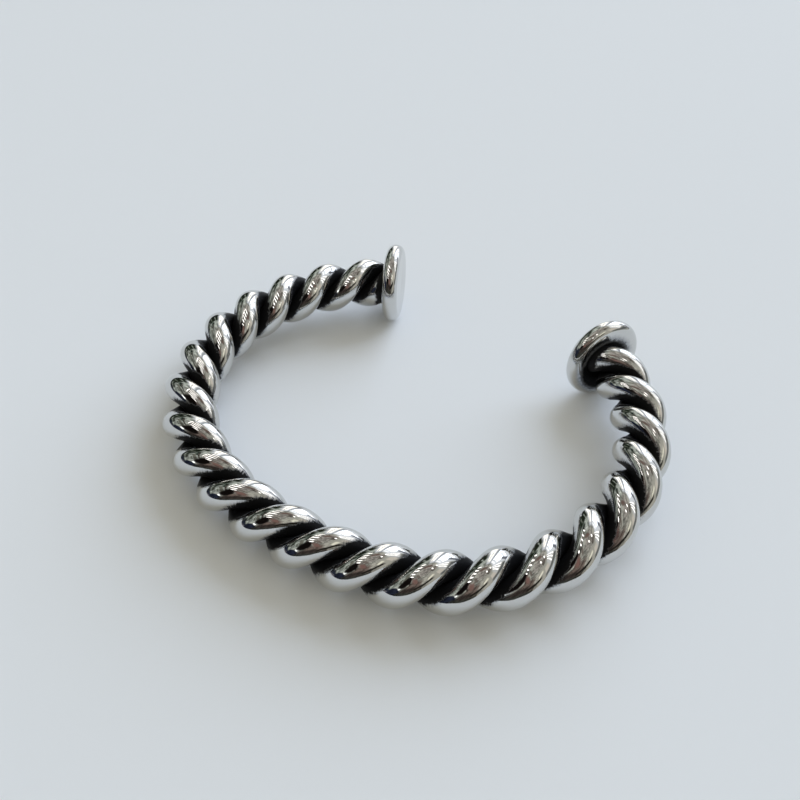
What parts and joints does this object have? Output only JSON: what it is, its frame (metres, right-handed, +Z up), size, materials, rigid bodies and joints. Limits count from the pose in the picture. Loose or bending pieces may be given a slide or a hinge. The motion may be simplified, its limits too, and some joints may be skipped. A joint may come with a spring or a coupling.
{
  "type": "twisted wire bangle",
  "caption": "Open oval bangle of thick round wires twisted into one rope, with a flat round disc across each end.",
  "frame": {"origin": "middle of the bounding box, on the surface that the bangle lies on", "axes": "+Z up, the bangle lying on its side; +X to the right along the line through the two end discs; +Y towards the opening"},
  "size_m": [0.0742, 0.062, 0.013],
  "materials": {
    "silver": "polished silver, blackened in the grooves of the twist and round the inner faces of the discs"
  },
  "bodies": {
    "root": {"wire_a": "silver", "wire_b": "silver", "end_disc_left": "silver", "end_disc_right": "silver"}
  },
  "joints": []
}
